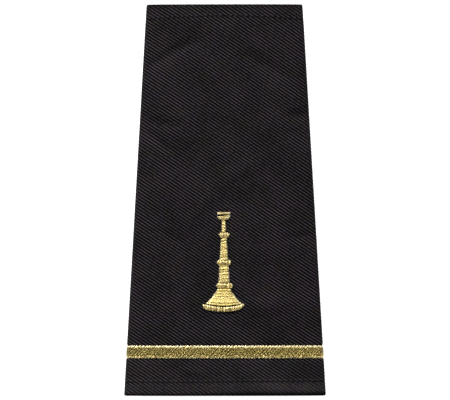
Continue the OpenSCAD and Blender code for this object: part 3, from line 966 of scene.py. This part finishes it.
# %% [markdown]
# ## Hem stitches
# Each mouth is hemmed with a row of black thread, and two more rows sew the back panel on. The stitches
# could be copies of one modelled stitch, but a running stitch repeats along a path, so a second small
# tree makes it: each stitch is a short thread that rises out of the cloth and dips back in.

# %% Running stitch tree
running = new_tree("running_stitch", "Stitch length, Gap, Thread radius, Rise, Sink", "Seed")
path = put("MeshToCurve", {"Mesh": given["Geometry"]})
number = calc("ROUND", divide(put("CurveLength", {0: path}), given["Stitch length"]))
lines, copy, side = copies(8, number)
share = times_plus(side, minus(0.5, times(given["Gap"], 0.5)), 0.5)
share = divide(plus(plus(copy, share), times(chance(copy, 1.0), 0.04)), number)
arch = minus(1.0, power(absolute(side), 4.0))
height = minus(times(plus(given["Rise"], given["Sink"]), arch), given["Sink"])
outward = vcalc("SCALE", vcalc("NORMALIZE", sample_rail(path, share, "up")), height)
spot = vcalc("ADD", sample_rail(path, share), outward)
end_tree(tube(put("SetPosition", {"Geometry": lines, "Position": spot}), given["Thread radius"]))

# %% Black thread
black = new_material("black_thread")
plies = noise(add_node("TexCoord").outputs["Object"], 5000.0, 1.0)
colour = mix(plies, (0.0025, 0.0021, 0.0025, 1), (0.011, 0.0104, 0.011, 1))
bump = put("Bump", {"Strength": 0.5, "Distance": 0.05*MM, "Height": plies})
set_shader({"Base Color": colour, "Roughness": 0.7, "Specular IOR Level": 0.06, "Normal": bump})

# %% Sew the hems and the seams of the back
HEM_STITCH_DEEP, SEAM_STITCH_DEEP, SEAM_INSET = 0.17*MM, 0.1*MM, 1.2*MM

stitch_rows = []


def sew(name, section, turn, y, deep):
    """One row of stitches along a path on a panel, a little under its plain section."""
    ob = rails_object(name, [at_depth(section, turn, y, deep)])
    grow(ob, running, stitch_length=STITCH_L, gap=0.12, thread_radius=0.12*MM, rise=0.05*MM, sink=0.25*MM,
         seed=40 + len(stitch_rows), material=black)
    stitch_rows.append(ob)


for end, mouth in ((1, "narrow"), (-1, "wide")):
    turn = np.linspace(-3.6, 3.6, 400)
    y = hem_line(end, np.clip(turn/2, -1, 1))
    sew(f"{mouth}_hem_stitches", front_section, turn, y, HEM_STITCH_DEEP)
    turn = np.linspace(-0.96, 0.96, 120)
    sew(f"{mouth}_back_hem_stitches", back_section, turn, hem_line(end, turn), HEM_STITCH_DEEP)
for end, name in ((-1, "left"), (1, "right")):
    y = np.linspace(-BOARD_L/2 + 2*MM, BOARD_L/2 - 2*MM, 200)
    turn = end*(1 - SEAM_INSET/(sleeve(y)[0] - BACK_MARGIN))
    sew(f"{name}_back_seam_stitches", back_section, turn, y, SEAM_STITCH_DEEP)

# %% [markdown]
# ## Hand-over to the frame
# Every piece rides on the solid model's one body, and the solids that the panels and gold pieces stand for
# are hidden. The width of cloth that each panel was cut to could be guessed, but the section gives it:
# from raw edge to raw edge at both mouths.

for ob, node in ((front, "front_panel"), (back, "back_panel")):
    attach(ob, "root")
    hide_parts(node)
for node, ob in gold_pieces.items():
    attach(ob, "root")
    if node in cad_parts:
        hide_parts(node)
for ob in stitch_rows:
    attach(ob, "root")
for ob, section, last_turn, held, under in ((front, front_section, 4.0, "folded", [back]),
                                            (back, back_section, 1.0, "laid", ["floor"])):
    wide, narrow = (cut_width(section, last_turn, end) for end in (-1, 1))
    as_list(under)

# %% [markdown]
# ## Floor, lights and camera
# The board lies on a plain pale floor. Its light is a scanner's: a long soft lamp beyond the narrow end
# and a weaker one at the other side, with little light from straight above. Round studio lamps would also
# do, but long ones draw the line of light that runs along each thread. The camera looks straight down.
# It stands far away with a long lens, so the board's height doesn't bend its outline.

# %% Floor
me = bpy.data.meshes.new("floor")
me.from_pydata([(-6, -6, 0), (6, -6, 0), (6, 6, 0), (-6, 6, 0)], [], [(0, 1, 2, 3)])
floor = add("floor", me)
me.materials.append(new_material("pale_floor"))
set_shader({"Base Color": (0.6, 0.6, 0.6, 1), "Roughness": 1.0, "Specular IOR Level": 0.0,
            "Emission Color": (1, 1, 1, 1), "Emission Strength": 0.75})

# %% Lights
def lamp(name, spot, size, watts):
    """A flat lamp that points at the board. The camera doesn't see the lamp itself."""
    data = bpy.data.lights.new(name, "AREA")
    data.shape, data.energy = "RECTANGLE", watts
    data.size, data.size_y = size
    ob = add(name, data)
    ob.location = spot
    ob.rotation_mode = "QUATERNION"
    ob.rotation_quaternion = (-Vector(spot)).to_track_quat("-Z", "Y")
    ob.visible_camera = False
    print(f"{name}: {watts} W, {Vector(spot).length:.2f} m away")


lamp("long_lamp", (-0.12, 0.70, 0.45), (1.4, 0.16), 23.0)
lamp("low_lamp", (-0.12, -0.70, 0.45), (1.4, 0.16), 6.5)
world = bpy.data.worlds.new("room")
world.use_nodes = True
background = world.node_tree.nodes["Background"].inputs
background["Color"].default_value = (0.5, 0.5, 0.5, 1)
background["Strength"].default_value = 0.16
bpy.context.scene.world = world
bpy.context.scene.view_settings.view_transform = "Standard"

# %% Camera
# The board in the photo lies a hair's breadth off the middle and isn't quite straight.
ASIDE, AHEAD, ASKEW, DISTANCE = 0.06*MM, 0.01*MM, -0.0012, 2.0

data = bpy.data.cameras.new("camera")
data.sensor_width, data.lens = 36, 597.2
data.clip_start, data.clip_end = 0.1, 50
camera = add("camera", data)
camera.location = (ASIDE, AHEAD, DISTANCE + BOARD_H)
camera.rotation_euler = (0, 0, ASKEW)
bpy.context.scene.camera = camera
print("the camera is", round(camera.location.z, 3), "m above the floor")
